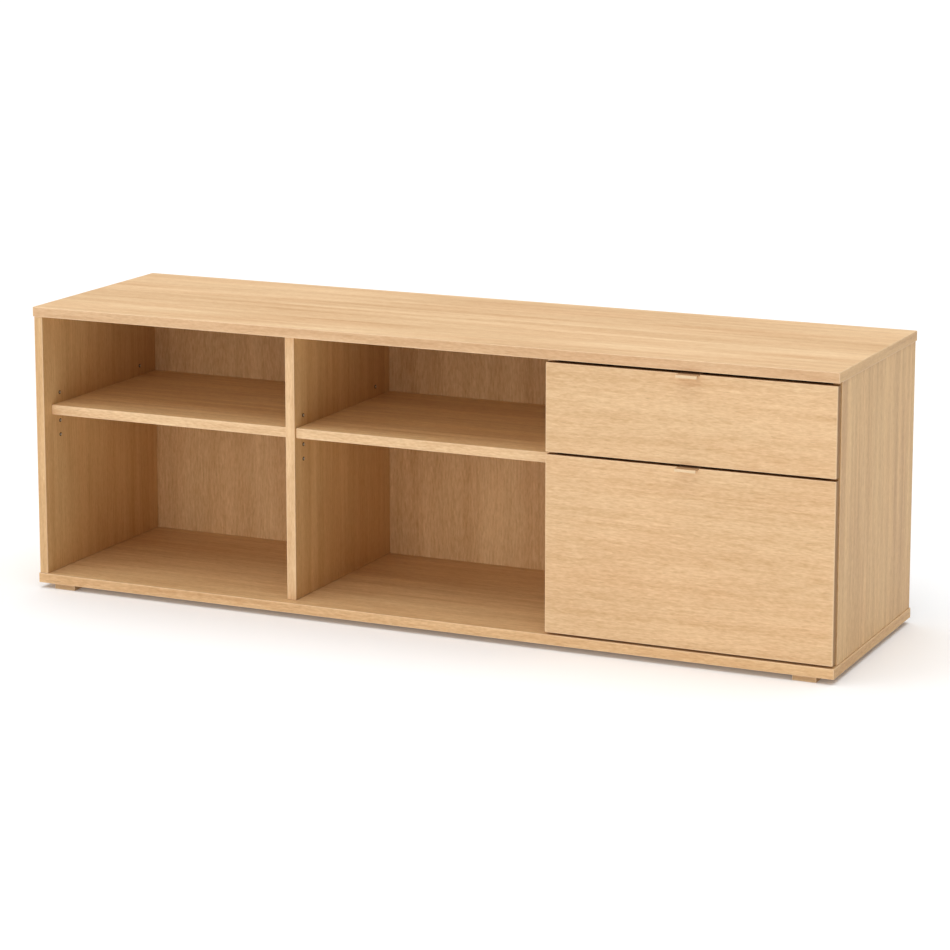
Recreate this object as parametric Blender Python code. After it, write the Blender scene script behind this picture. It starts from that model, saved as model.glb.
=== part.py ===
"""Low media bench: two open bays with a shelf each, and a bay with two drawers.

The bench stands on the floor, +Z up, with its open side and its drawers facing -Y.
The origin is on the floor, in the middle of the footprint, pulls included. Places are
given in the bench's own coordinates, from the left end, the front edge and the floor,
and bench_point() carries them to the origin's frame.
"""

import math

import bmesh
import bpy
from mathutils import Vector

# Driving dimensions, in metres
WIDTH = 1.460
DEPTH = 0.410
HEIGHT = 0.500
BOARD = 0.017
SIDE_BOARD = 0.016
FOOT_HEIGHT = 0.0095
FIT = 0.0003
EDGE_RADIUS = 0.0008

# Carcase
SIDE_INSET = 0.002
SIDE_FRONT_LEFT = 0.001
SIDE_FRONT_RIGHT = 0.021
PARTITION_FRONT = 0.021
REAR_INSET = 0.001
BACK_FRONT = 0.384
BACK_THICK = 0.003
GROOVE_DEPTH = 0.006
BAYS = 3

# Shelves and their supports
SHELF_FRONT = 0.0255
SHELF_REAR_GAP = 0.001
SHELF_SIDE_PLAY = 0.0005
PIN_LEVEL = 0.3165
PIN_PITCH = 0.025
PIN_LEVELS = (-2, -1, 0, 1)
PIN_COLUMNS = (0.0525, 0.327)
PIN_HOLE_R = 0.0025
PIN_HOLE_DEPTH = 0.0075
PIN_SHANK_R = 0.0022
PIN_HEAD_R = 0.0027
PIN_REACH = 0.009
SLOT_WIDTH = 0.0064
SLOT_LENGTH = 0.0105

# Feet
FOOT_SIZE = 0.040
FOOT_END_INSET = 0.030
FOOT_FRONT_INSET = 0.004

# Drawer fronts
FRONT_THICK = 0.016
FRONT_SET_BACK = 0.0005
FRONT_END_INSET = 0.001
FRONT_OVERLAY_LEFT = 0.0125
GAP_TOP = 0.0048
GAP_MIDDLE = 0.0044
GAP_BOTTOM = 0.0040
UPPER_FRONT_HEIGHT = 0.1468

# Drawer boxes
BOX_SIDE_THICK = 0.012
BOX_LENGTH = 0.350
BOX_BOTTOM_THICK = 0.003
BOX_BOTTOM_RISE = 0.008
BOX_GROOVE_DEPTH = 0.004
BOX_RAIL_RISE = 0.0035

# Roller runners
RUNNER_SPACE = 0.0125
RUNNER_STEEL = 0.0012
RUNNER_HEIGHT = 0.028
RUNNER_FLANGE = 0.0105
RUNNER_FRONT = 0.0235
RUNNER_LENGTH = 0.340
ROLLER_R = 0.009
ROLLER_BORE_R = 0.0028
ROLLER_WIDTH = 0.0066
AXLE_R = 0.0025
AXLE_HEAD_R = 0.0038
AXLE_HEAD_THICK = 0.0007
FRONT_ROLLER_RISE = 0.0135
REAR_ROLLER_RISE = 0.0105
FRONT_ROLLER_SETBACK = 0.012
REAR_ROLLER_SETBACK = 0.015

# Pulls
PULL_WIDTH = 0.036
PULL_REACH = 0.013
PULL_STEEL = 0.0015
PULL_LIP = 0.0048
PULL_TAIL = 0.028
PULL_NOTCH_PLAY = 0.0003
PULL_SCREW_SPACING = 0.020
PULL_SCREW_DROP = 0.018
SCREW_SHANK_R = 0.0017
SCREW_HEAD_R = 0.0035
SCREW_HEAD_THICK = 0.0022
SCREW_LENGTH = 0.012
SCREW_HOLE_R = 0.0021

# Levels and places worked out from the driving dimensions
FLOOR_BOARD_TOP = FOOT_HEIGHT + BOARD
TOP_UNDERSIDE = HEIGHT - BOARD
INNER_LEFT = SIDE_INSET + SIDE_BOARD
INNER_RIGHT = WIDTH - INNER_LEFT
BAY_WIDTH = (INNER_RIGHT - INNER_LEFT - (BAYS - 1) * BOARD) / BAYS
LEFT_PARTITION = INNER_LEFT + BAY_WIDTH
RIGHT_PARTITION = LEFT_PARTITION + BOARD + BAY_WIDTH
DRAWER_BAY = RIGHT_PARTITION + BOARD
FRONT_LEFT = DRAWER_BAY - FRONT_OVERLAY_LEFT
FRONT_RIGHT = WIDTH - SIDE_INSET - FRONT_END_INSET
FRONT_BACK = FRONT_SET_BACK + FRONT_THICK
SHELF_UNDERSIDE = PIN_LEVEL - 0.0095
UPPER_TOP = TOP_UNDERSIDE - GAP_TOP
UPPER_BOTTOM = UPPER_TOP - UPPER_FRONT_HEIGHT
LOWER_TOP = UPPER_BOTTOM - GAP_MIDDLE
LOWER_BOTTOM = FLOOR_BOARD_TOP + GAP_BOTTOM
CENTRE = Vector((WIDTH / 2, (DEPTH - PULL_REACH) / 2, 0.0))

# The two drawers: front's bottom and top, runners' level, height of the box's sides
DRAWERS = {
    "upper": (UPPER_BOTTOM, UPPER_TOP, 0.345, 0.100),
    "lower": (LOWER_BOTTOM, LOWER_TOP, 0.044, 0.200),
}


def clear_scene():
    for obj in list(bpy.data.objects):
        bpy.data.objects.remove(obj, do_unlink=True)


def bench_point(x, y, z):
    """A point given from the left end, the front edge and the floor."""
    return Vector((x, y, z)) - CENTRE


def make_material(name, colour, roughness, metallic=0.0):
    material = bpy.data.materials.new(name)
    material.use_nodes = True
    shader = material.node_tree.nodes["Principled BSDF"]
    shader.inputs["Base Color"].default_value = (*colour, 1.0)
    shader.inputs["Roughness"].default_value = roughness
    shader.inputs["Metallic"].default_value = metallic
    return material


def make_materials():
    return {
        "oak_board": make_material("oak_board", (0.74, 0.52, 0.30), 0.50),
        "oak_front": make_material("oak_front", (0.70, 0.48, 0.27), 0.50),
        "box_board": make_material("box_board", (0.72, 0.64, 0.52), 0.55),
        "hardboard": make_material("hardboard", (0.66, 0.56, 0.42), 0.70),
        "pull_beige": make_material("pull_beige", (0.78, 0.60, 0.38), 0.40),
        "white_steel": make_material("white_steel", (0.80, 0.80, 0.78), 0.40, 0.2),
        "zinc": make_material("zinc", (0.68, 0.68, 0.66), 0.35, 1.0),
        "nylon": make_material("nylon", (0.86, 0.85, 0.80), 0.45),
    }


def add_object(name, mesh, place, material, parent=None):
    """Put a mesh in the scene at its place, under its parent empty if it has one."""
    obj = bpy.data.objects.new(name, mesh)
    bpy.context.collection.objects.link(obj)
    obj.location = place
    if parent:
        obj.parent = parent
        obj.location = place - parent.location
    if material:
        mesh.materials.append(material)
    return obj


def mesh_from(build, name):
    """Run a function that fills a bmesh, and return the result as a mesh."""
    bm = bmesh.new()
    build(bm)
    bmesh.ops.recalc_face_normals(bm, faces=bm.faces)
    mesh = bpy.data.meshes.new(name)
    bm.to_mesh(mesh)
    bm.free()
    return mesh


def add_bevel(obj, width, segments=2):
    bevel = obj.modifiers.new("edges", "BEVEL")
    bevel.width = width
    bevel.segments = segments
    bevel.limit_method = "ANGLE"
    bevel.angle_limit = math.radians(40)


def slab(name, low, high, material, parent=None, edge=EDGE_RADIUS):
    """A board between two corners given in the bench's coordinates."""
    size = Vector(high) - Vector(low)
    middle = bench_point(*((Vector(high) + Vector(low)) / 2))

    def build(bm):
        bmesh.ops.create_cube(bm, size=1.0)
        bmesh.ops.scale(bm, vec=size, verts=bm.verts)

    obj = add_object(name, mesh_from(build, name), middle, material, parent)
    if edge:
        add_bevel(obj, edge)
    return obj


def make_tool(obj):
    """A shape that only cuts another or is welded to it, hidden from the model."""
    obj.hide_render = True
    obj.display_type = "WIRE"
    return obj


def combine(obj, tool, operation):
    change = obj.modifiers.new(operation.lower(), "BOOLEAN")
    change.operation = operation
    change.solver = "EXACT"
    change.object = make_tool(tool)


def cut_box(obj, low, high):
    tool = slab(obj.name + "_cutter", low, high, None, obj.parent, edge=0)
    combine(obj, tool, "DIFFERENCE")


def rod_points(profile, segments):
    """Rings of points for a turned piece: profile holds (radius, height) pairs."""
    turns = [2 * math.pi * i / segments for i in range(segments)]
    return [
        [Vector((r * math.cos(t), r * math.sin(t), h)) for t in turns]
        for r, h in profile
    ]


def add_turned(bm, profile, axis, origin=Vector(), segments=16, hollow=False):
    """A piece turned about an axis, closed by end caps or, if hollow, by its bore."""
    turn = Vector((0, 0, 1)).rotation_difference(Vector(axis)).to_matrix()
    rings = [
        [bm.verts.new(turn @ point + origin) for point in ring]
        for ring in rod_points(profile, segments)
    ]
    pairs = list(zip(rings, rings[1:]))
    if hollow:
        pairs.append((rings[-1], rings[0]))
    else:
        bm.faces.new(reversed(rings[0]))
        bm.faces.new(rings[-1])
    for ring, following in pairs:
        for i in range(segments):
            j = (i + 1) % segments
            bm.faces.new((ring[i], ring[j], following[j], following[i]))


def turned(name, profile, axis, place, material, parent=None, hollow=False, segments=16):
    def build(bm):
        add_turned(bm, profile, axis, segments=segments, hollow=hollow)

    mesh = mesh_from(build, name)
    mesh.shade_smooth()
    mesh.set_sharp_from_angle(angle=math.radians(35))
    return add_object(name, mesh, place, material, parent)


def cut_holes(obj, points, axis, radius, depth):
    """Blind round holes, drilled from each point along the axis."""
    overrun = 0.002
    profile = [(radius, -overrun), (radius, depth)]

    def build(bm):
        for point in points:
            origin = bench_point(*point) - obj_place(obj)
            add_turned(bm, profile, axis, origin, segments=12)

    mesh = mesh_from(build, obj.name + "_drill")
    tool = add_object(obj.name + "_drill", mesh, obj_place(obj), None, obj.parent)
    combine(obj, tool, "DIFFERENCE")


def obj_place(obj):
    """An object's place in the scene, its parent's included."""
    if obj.parent:
        return obj.location + obj.parent.location
    return obj.location.copy()


def offset_path(path, thickness):
    """The outline of a sheet bent along a path, with the sheet on the path's right."""
    path = [Vector(point) for point in path]
    steps = [(b - a).normalized() for a, b in zip(path, path[1:])]
    sides = [Vector((step.y, -step.x)) for step in steps]
    inner = [path[0] + sides[0] * thickness]
    for i in range(1, len(path) - 1):
        corner = sides[i - 1] + sides[i]
        inner.append(path[i] + corner * thickness / (1 + sides[i - 1].dot(sides[i])))
    inner.append(path[-1] + sides[-1] * thickness)
    return path + inner[::-1]


def extrusion(name, outline, to_point, length_axis, material, place, parent=None):
    """A flat outline drawn out along an axis; to_point gives each corner its place."""

    def build(bm):
        face = bm.faces.new([bm.verts.new(to_point(point)) for point in outline])
        grown = bmesh.ops.extrude_face_region(bm, geom=[face])["geom"]
        verts = [part for part in grown if isinstance(part, bmesh.types.BMVert)]
        bmesh.ops.translate(bm, vec=length_axis, verts=verts)

    return add_object(name, mesh_from(build, name), place, material, parent)


# Carcase


def make_end_boards(oak):
    """Top and bottom run the full length, grooved for the back."""
    for name, low, groove in (
        ("bottom_panel", FOOT_HEIGHT, FLOOR_BOARD_TOP - GROOVE_DEPTH),
        ("top_panel", TOP_UNDERSIDE, TOP_UNDERSIDE),
    ):
        board = slab(name, (0, 0, low), (WIDTH, DEPTH, low + BOARD), oak)
        ends = INNER_LEFT - GROOVE_DEPTH
        overcut = 0.002
        bottom = groove - (overcut if name == "top_panel" else 0)
        top = groove + GROOVE_DEPTH + (overcut if name == "bottom_panel" else 0)
        cut_box(
            board,
            (ends, BACK_FRONT - FIT, bottom),
            (WIDTH - ends, BACK_FRONT + BACK_THICK + FIT, top),
        )


def pin_hole_points(x, levels=PIN_LEVELS):
    return [(x, y, PIN_LEVEL + n * PIN_PITCH) for y in PIN_COLUMNS for n in levels]


def make_side_boards(oak):
    low = FLOOR_BOARD_TOP + FIT
    high = TOP_UNDERSIDE - FIT
    rear = DEPTH - REAR_INSET
    overcut = 0.002
    for name, x, front, inner in (
        ("left_side_panel", SIDE_INSET, SIDE_FRONT_LEFT, INNER_LEFT),
        ("right_side_panel", INNER_RIGHT, SIDE_FRONT_RIGHT, INNER_RIGHT),
    ):
        board = slab(name, (x, front, low), (x + SIDE_BOARD, rear, high), oak)
        reach = (-GROOVE_DEPTH, overcut) if inner == INNER_LEFT else (-overcut, GROOVE_DEPTH)
        cut_box(
            board,
            (inner + reach[0], BACK_FRONT - FIT, low - overcut),
            (inner + reach[1], BACK_FRONT + BACK_THICK + FIT, high + overcut),
        )
        if inner == INNER_LEFT:
            cut_holes(board, pin_hole_points(inner), (-1, 0, 0), PIN_HOLE_R, PIN_HOLE_DEPTH)


def make_partitions(oak):
    low = FLOOR_BOARD_TOP + FIT
    high = TOP_UNDERSIDE - FIT
    rear = BACK_FRONT - FIT
    for name, x in (("left_partition", LEFT_PARTITION), ("right_partition", RIGHT_PARTITION)):
        board = slab(name, (x, PARTITION_FRONT, low), (x + BOARD, rear, high), oak)
        cut_holes(board, pin_hole_points(x), (1, 0, 0), PIN_HOLE_R, PIN_HOLE_DEPTH)
        if name == "left_partition":
            right_face = pin_hole_points(x + BOARD)
            cut_holes(board, right_face, (-1, 0, 0), PIN_HOLE_R, PIN_HOLE_DEPTH)


def make_back(oak):
    reach = GROOVE_DEPTH - FIT
    slab(
        "back_panel",
        (INNER_LEFT - reach, BACK_FRONT, FLOOR_BOARD_TOP - reach),
        (INNER_RIGHT + reach, BACK_FRONT + BACK_THICK, TOP_UNDERSIDE + reach),
        oak,
        edge=0,
    )


def make_feet(oak):
    """Four corner feet, and two halfway back under the partitions."""
    low_x = FOOT_END_INSET
    high_x = WIDTH - FOOT_END_INSET - FOOT_SIZE
    front = FOOT_FRONT_INSET
    rear = DEPTH - FOOT_FRONT_INSET - FOOT_SIZE
    halfway = (DEPTH - FOOT_SIZE) / 2
    under_partition = (BOARD - FOOT_SIZE) / 2
    for name, x, y in (
        ("front_left_foot", low_x, front),
        ("front_right_foot", high_x, front),
        ("rear_left_foot", low_x, rear),
        ("rear_right_foot", high_x, rear),
        ("left_centre_foot", LEFT_PARTITION + under_partition, halfway),
        ("right_centre_foot", RIGHT_PARTITION + under_partition, halfway),
    ):
        size = Vector((FOOT_SIZE, FOOT_SIZE, FOOT_HEIGHT - FIT))
        low = Vector((x, y, 0))
        slab(name, low, low + size, oak)


# Shelves


def make_shelf(name, bay_left, oak):
    """A loose shelf with a slot over each pin, open below and at its end."""
    left = bay_left + SHELF_SIDE_PLAY
    right = bay_left + BAY_WIDTH - SHELF_SIDE_PLAY
    low = (left, SHELF_FRONT, SHELF_UNDERSIDE)
    high = (right, BACK_FRONT - SHELF_REAR_GAP, SHELF_UNDERSIDE + BOARD)
    shelf = slab(name, low, high, oak)
    overcut = 0.002
    slot_top = PIN_LEVEL + PIN_HEAD_R + FIT
    for start, end in (
        (left - overcut, left + SLOT_LENGTH),
        (right - SLOT_LENGTH, right + overcut),
    ):
        for y in PIN_COLUMNS:
            cut_box(
                shelf,
                (start, y - SLOT_WIDTH / 2, SHELF_UNDERSIDE - overcut),
                (end, y + SLOT_WIDTH / 2, slot_top),
            )


def make_pins(bay, bay_left, zinc):
    """Four turned pins hold a shelf, pushed into the drilled columns."""
    chamfer = 0.0004
    shank = PIN_HOLE_DEPTH - 0.0005
    collar = 0.0005
    profile = [
        (PIN_SHANK_R - chamfer, -shank),
        (PIN_SHANK_R, -shank + chamfer),
        (PIN_SHANK_R, collar),
        (PIN_HEAD_R, collar),
        (PIN_HEAD_R, PIN_REACH - chamfer),
        (PIN_HEAD_R - chamfer, PIN_REACH),
    ]
    for side, x, inward in (("left", bay_left, 1), ("right", bay_left + BAY_WIDTH, -1)):
        for end, y in zip(("front", "rear"), PIN_COLUMNS):
            name = f"{bay}_shelf_pin_{side}_{end}"
            place = bench_point(x, y, PIN_LEVEL)
            turned(name, profile, (inward, 0, 0), place, zinc)


# Drawers


def make_slide_empty(name, bottom, top):
    """The slide's guide: an empty in the middle of the front, on the sliding line."""
    guide = bpy.data.objects.new(f"{name}_drawer_slide", None)
    bpy.context.collection.objects.link(guide)
    guide.location = bench_point((FRONT_LEFT + FRONT_RIGHT) / 2, FRONT_BACK, (bottom + top) / 2)
    return guide


def box_edges():
    """Inner faces of the drawer box's two sides."""
    left = DRAWER_BAY + RUNNER_SPACE + BOX_SIDE_THICK
    right = INNER_RIGHT - RUNNER_SPACE - BOX_SIDE_THICK
    return left, right


def make_drawer_front(name, bottom, top, rail, guide, materials):
    front = slab(
        f"{name}_drawer_front",
        (FRONT_LEFT, FRONT_SET_BACK, bottom),
        (FRONT_RIGHT, FRONT_BACK, top),
        materials["oak_front"],
        guide,
    )
    middle = (FRONT_LEFT + FRONT_RIGHT) / 2
    half = PULL_WIDTH / 2 + PULL_NOTCH_PLAY
    overcut = 0.004
    cut_box(
        front,
        (middle - half, -overcut, top - PULL_STEEL - PULL_NOTCH_PLAY),
        (middle + half, FRONT_BACK + overcut, top + overcut),
    )
    left, right = box_edges()
    groove = rail + BOX_RAIL_RISE + BOX_BOTTOM_RISE
    cut_box(
        front,
        (left - BOX_GROOVE_DEPTH, FRONT_BACK - BOX_GROOVE_DEPTH, groove - FIT),
        (right + BOX_GROOVE_DEPTH, FRONT_BACK + overcut, groove + BOX_BOTTOM_THICK + FIT),
    )
    holes = [(x, FRONT_BACK, top - PULL_SCREW_DROP) for x in pull_screw_places(middle)]
    cut_holes(front, holes, (0, -1, 0), SCREW_HOLE_R, SCREW_LENGTH)


def make_drawer_box(name, rail, height, guide, materials):
    """Two sides, a back and a hardboard bottom held in grooves."""
    left, right = box_edges()
    start = FRONT_BACK + FIT
    end = start + BOX_LENGTH
    low = rail + BOX_RAIL_RISE
    overcut = 0.002
    groove = low + BOX_BOTTOM_RISE
    board = materials["box_board"]
    for side, x, reach in (
        ("left", left - BOX_SIDE_THICK, (left - BOX_GROOVE_DEPTH, left + overcut)),
        ("right", right, (right - overcut, right + BOX_GROOVE_DEPTH)),
    ):
        wall = slab(
            f"{name}_drawer_{side}_side",
            (x, start, low),
            (x + BOX_SIDE_THICK, end, low + height),
            board,
            guide,
        )
        cut_box(
            wall,
            (reach[0], start - overcut, groove - FIT),
            (reach[1], end + overcut, groove + BOX_BOTTOM_THICK + FIT),
        )
    slab(
        f"{name}_drawer_back",
        (left + FIT, end - BOX_SIDE_THICK, groove + BOX_BOTTOM_THICK + FIT),
        (right - FIT, end, low + height),
        board,
        guide,
    )
    reach = BOX_GROOVE_DEPTH - FIT
    slab(
        f"{name}_drawer_bottom",
        (left - reach, FRONT_BACK - reach, groove),
        (right + reach, end - FIT, groove + BOX_BOTTOM_THICK),
        materials["hardboard"],
        guide,
        edge=0,
    )


def pull_screw_places(middle):
    return (middle - PULL_SCREW_SPACING / 2, middle + PULL_SCREW_SPACING / 2)


def make_pull(name, top, guide, materials):
    """A steel strip bent over the front's top edge, with a lip in front."""
    tail = FRONT_BACK + PULL_NOTCH_PLAY + PULL_STEEL
    path = [
        (-PULL_REACH, top - PULL_LIP),
        (-PULL_REACH, top),
        (tail, top),
        (tail, top - PULL_TAIL),
    ]
    middle = (FRONT_LEFT + FRONT_RIGHT) / 2
    place = bench_point(middle, 0, top)

    def to_point(point):
        return Vector((-PULL_WIDTH / 2, point.x, point.y - top))

    pull = extrusion(
        f"{name}_pull",
        offset_path(path, PULL_STEEL),
        to_point,
        Vector((PULL_WIDTH, 0, 0)),
        materials["pull_beige"],
        place,
        guide,
    )
    add_bevel(pull, 0.0004)
    screws = [(x, tail, top - PULL_SCREW_DROP) for x in pull_screw_places(middle)]
    through = PULL_STEEL + 0.002
    cut_holes(pull, screws, (0, -1, 0), SCREW_HOLE_R, through)
    profile = [
        (SCREW_HEAD_R * 0.55, SCREW_HEAD_THICK + FIT),
        (SCREW_HEAD_R * 0.9, SCREW_HEAD_THICK * 0.75 + FIT),
        (SCREW_HEAD_R, SCREW_HEAD_THICK * 0.3 + FIT),
        (SCREW_HEAD_R, FIT),
        (SCREW_SHANK_R, FIT),
        (SCREW_SHANK_R, -SCREW_LENGTH + 0.003),
        (SCREW_SHANK_R * 0.3, -SCREW_LENGTH + 0.001),
    ]
    for side, point in zip(("left", "right"), screws):
        piece = f"{name}_pull_screw_{side}"
        turned(piece, profile[::-1], (0, 1, 0), bench_point(*point), materials["zinc"], guide)


# Runners


def roller_profile():
    """The wheel's section: a plain tread with eased edges, round its bore."""
    half = ROLLER_WIDTH / 2
    ease = 0.0008
    shoulder_r = ROLLER_R - ease
    return [
        (ROLLER_BORE_R, -half),
        (shoulder_r, -half),
        (ROLLER_R, -half + ease),
        (ROLLER_R, half - ease),
        (shoulder_r, half),
        (ROLLER_BORE_R, half),
    ]


def weld_axle(runner, name, axis, place, roller_centre, parent):
    """A riveted stub axle through the wheel, with a head outside it."""
    root = (roller_centre - place).length
    head = root + ROLLER_WIDTH / 2 + 0.0003
    profile = [
        (AXLE_R, -RUNNER_STEEL / 2),
        (AXLE_R, head),
        (AXLE_HEAD_R, head),
        (AXLE_HEAD_R, head + AXLE_HEAD_THICK * 0.6),
        (AXLE_HEAD_R * 0.7, head + AXLE_HEAD_THICK),
    ]
    axle = turned(name + "_axle", profile, axis, place, None, parent)
    combine(runner, axle, "UNION")


def make_runner_pair(drawer, side, rail, guide, materials):
    """One side's cabinet channel and drawer rail, with a roller on each."""
    wall, inward = (DRAWER_BAY, 1) if side == "left" else (INNER_RIGHT, -1)
    steel = materials["white_steel"]
    base = bench_point(wall, 0, rail)

    def to_point(point):
        return Vector((inward * point.x, 0, point.y))

    channel = [
        (RUNNER_FLANGE, 0),
        (FIT, 0),
        (FIT, RUNNER_HEIGHT),
        (RUNNER_FLANGE, RUNNER_HEIGHT),
    ]
    cabinet = extrusion(
        f"{drawer}_{side}_cabinet_runner",
        offset_path(channel, RUNNER_STEEL),
        to_point,
        Vector((0, RUNNER_LENGTH, 0)),
        steel,
        base + Vector((0, RUNNER_FRONT, 0)),
    )
    leg = RUNNER_SPACE - FIT
    tread = FRONT_ROLLER_RISE + ROLLER_R + FIT + RUNNER_STEEL
    sole = BOX_RAIL_RISE - FIT
    rail_path = [
        (0.0022, tread),
        (leg, tread),
        (leg, sole),
        (RUNNER_SPACE + BOX_SIDE_THICK, sole),
    ]
    length = BOX_LENGTH - 0.002
    front = FRONT_BACK + 0.001
    moving = extrusion(
        f"{drawer}_{side}_drawer_runner",
        offset_path(rail_path, RUNNER_STEEL),
        to_point,
        Vector((0, length, 0)),
        steel,
        base + Vector((0, front, 0)),
        guide,
    )
    axis = Vector((inward, 0, 0))
    web_face = FIT + RUNNER_STEEL
    leg_face = leg - RUNNER_STEEL
    front_axle = base + Vector(
        (inward * web_face, RUNNER_FRONT + FRONT_ROLLER_SETBACK, FRONT_ROLLER_RISE)
    )
    rear_axle = base + Vector(
        (inward * leg_face, front + length - REAR_ROLLER_SETBACK, REAR_ROLLER_RISE)
    )
    clearance = 0.0005
    half = ROLLER_WIDTH / 2
    for end, runner, root, direction, parent in (
        ("front", cabinet, front_axle, axis, None),
        ("rear", moving, rear_axle, -axis, guide),
    ):
        centre = root + direction * (clearance + half)
        name = f"{drawer}_{side}_{end}_roller"
        weld_axle(runner, name, direction, root, centre, parent)
        nylon = materials["nylon"]
        turned(name, roller_profile(), axis, centre, nylon, parent, hollow=True, segments=24)


def make_drawer(name, materials):
    bottom, top, rail, height = DRAWERS[name]
    guide = make_slide_empty(name, bottom, top)
    make_drawer_front(name, bottom, top, rail, guide, materials)
    make_drawer_box(name, rail, height, guide, materials)
    make_pull(name, top, guide, materials)
    for side in ("left", "right"):
        make_runner_pair(name, side, rail, guide, materials)


def main():
    clear_scene()
    materials = make_materials()
    oak = materials["oak_board"]
    make_end_boards(oak)
    make_side_boards(oak)
    make_partitions(oak)
    make_back(oak)
    make_feet(materials["oak_front"])
    for bay, bay_left in (("left", INNER_LEFT), ("middle", LEFT_PARTITION + BOARD)):
        make_shelf(f"{bay}_shelf", bay_left, oak)
        make_pins(bay, bay_left, materials["zinc"])
    for name in DRAWERS:
        make_drawer(name, materials)


main()
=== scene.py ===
"""A low media bench in honey oak-effect board: two open bays with a shelf each, and two drawers.

The sections follow the bench as it is put together, from the boards of the carcase to the
drawers and their runners, and end with the room that it is pictured in.
"""

import math

import bpy
from mathutils import Matrix, Vector


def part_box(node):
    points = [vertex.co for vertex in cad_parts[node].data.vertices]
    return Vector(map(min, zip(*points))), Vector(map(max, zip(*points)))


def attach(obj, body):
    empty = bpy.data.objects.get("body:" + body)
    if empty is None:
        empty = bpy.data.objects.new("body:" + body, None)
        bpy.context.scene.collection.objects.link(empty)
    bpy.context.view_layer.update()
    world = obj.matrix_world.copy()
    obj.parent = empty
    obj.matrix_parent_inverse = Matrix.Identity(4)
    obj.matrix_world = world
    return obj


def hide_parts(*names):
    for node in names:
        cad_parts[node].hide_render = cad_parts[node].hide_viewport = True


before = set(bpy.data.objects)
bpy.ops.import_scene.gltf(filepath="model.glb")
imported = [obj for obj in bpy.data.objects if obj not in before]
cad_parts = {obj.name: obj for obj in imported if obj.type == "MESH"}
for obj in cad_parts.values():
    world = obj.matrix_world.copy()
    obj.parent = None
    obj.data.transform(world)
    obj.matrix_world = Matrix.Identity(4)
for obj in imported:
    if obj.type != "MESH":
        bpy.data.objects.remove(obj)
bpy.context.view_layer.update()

# ---------------------------------------------------------------------------------------
# Top and bottom boards: 17 mm particle board over the whole length, faced with a printed
# oak foil that runs lengthwise and is wrapped over the front edge. The ends are banded
# with the same foil, and the uprights stand on the bottom board.

OAK_LIGHT = (0.885, 0.605, 0.332, 1.0)
OAK_DARK = (0.590, 0.325, 0.142, 1.0)
OAK_PINK = (1.006, 0.997, 0.994, 1.0)
OAK_STRAW = (0.994, 1.003, 1.006, 1.0)
OAK_PORE = (0.400, 0.215, 0.100, 1.0)
OAK_EDGE_HIGHLIGHT = (0.980, 0.745, 0.490, 1.0)
CHIPBOARD = (0.400, 0.265, 0.150, 1.0)
CHIPBOARD_FLAKE = (0.600, 0.435, 0.270, 1.0)
FOIL_DEPTH = 0.0010
EDGE_HIGHLIGHT_WIDTH = 0.0022
EDGE_HIGHLIGHT_SHARE = 0.42
GAP_SHADE_START = 0.0018
GAP_SHADE_FULL = 0.0036
SIDE_GAP_SHADE_SHARE = 0.75
FOIL_GLOSS = 0.25
FOIL_BUMP = 0.15
FOIL_BUMP_DEPTH = 0.0003

# The foil's patterns: cycles per metre along the grain and across it, and noise detail.
SLOW_TONE = (1.2, 9.0, 2.0)
LONG_STREAK = (2.2, 60.0, 4.0)
COARSE_FIBRE = (30.0, 240.0, 2.0)
SHORT_FIBRE = (92.0, 430.0, 1.0)
FINE_FIBRE = (160.0, 1500.0, 2.0)
HUE_DRIFT = (4.0, 18.0, 2.0)
PORE_DASH = (55.0, 900.0, 2.0)
CORE_FLAKE = (350.0, 500.0, 3.0)
RING_WANDER = (1.3, 5.0, 2.0)
RING_RIPPLE = (5.0, 22.0, 3.0)
WANDER_WIDTH = 0.07
RIPPLE_RINGS = 1.6

# A face looks along an axis when its normal's part along it is more than this.
SQUARE_ON = 0.8


def add_node(tree, kind, inputs=None, **settings):
    """A shader node, with its sockets set to values or joined to other nodes' outputs."""
    made = tree.nodes.new(kind)
    for name, value in settings.items():
        setattr(made, name, value)
    for key, value in (inputs or {}).items():
        if isinstance(value, bpy.types.NodeSocket):
            tree.links.new(value, made.inputs[key])
        else:
            made.inputs[key].default_value = value
    return made.outputs


def calculate(tree, operation, *values, clamp=False):
    """The result of one Math node."""
    return add_node(
        tree, "ShaderNodeMath", dict(enumerate(values)), operation=operation, use_clamp=clamp
    )[0]


def pick(tree, share, first, second):
    """The first number where share is 0, and the second where it is 1."""
    return add_node(tree, "ShaderNodeMix", {0: share, 2: first, 3: second}, data_type="FLOAT")[0]


def blend_colours(tree, share, first, second, how="MIX"):
    """Two colours mixed: sockets 0, 6 and 7 of a Mix node are its share and its colours."""
    colours = {0: share, 6: first, 7: second}
    return add_node(tree, "ShaderNodeMix", colours, data_type="RGBA", blend_type=how)[2]


def spread(tree, value, low, high, out_low=0.0, out_high=1.0):
    """A value carried smoothly from one range to another, and held at its ends."""
    ranges = {0: value, 1: low, 2: high, 3: out_low, 4: out_high}
    return add_node(
        tree, "ShaderNodeMapRange", ranges, interpolation_type="SMOOTHSTEP", clamp=True
    )[0]


def new_finish(name, roughness=0.5):
    """A node material, its tree and its Principled shader."""
    finish = bpy.data.materials.new(name)
    finish.use_nodes = True
    shader = finish.node_tree.nodes["Principled BSDF"]
    shader.inputs["Roughness"].default_value = roughness
    return finish, finish.node_tree, shader


def roughen(tree, shader, height, strength, depth):
    """Bump on a finish, from a height between 0 and 1."""
    settings = {"Strength": strength, "Distance": depth, "Height": height}
    tree.links.new(add_node(tree, "ShaderNodeBump", settings)[0], shader.inputs["Normal"])


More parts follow.
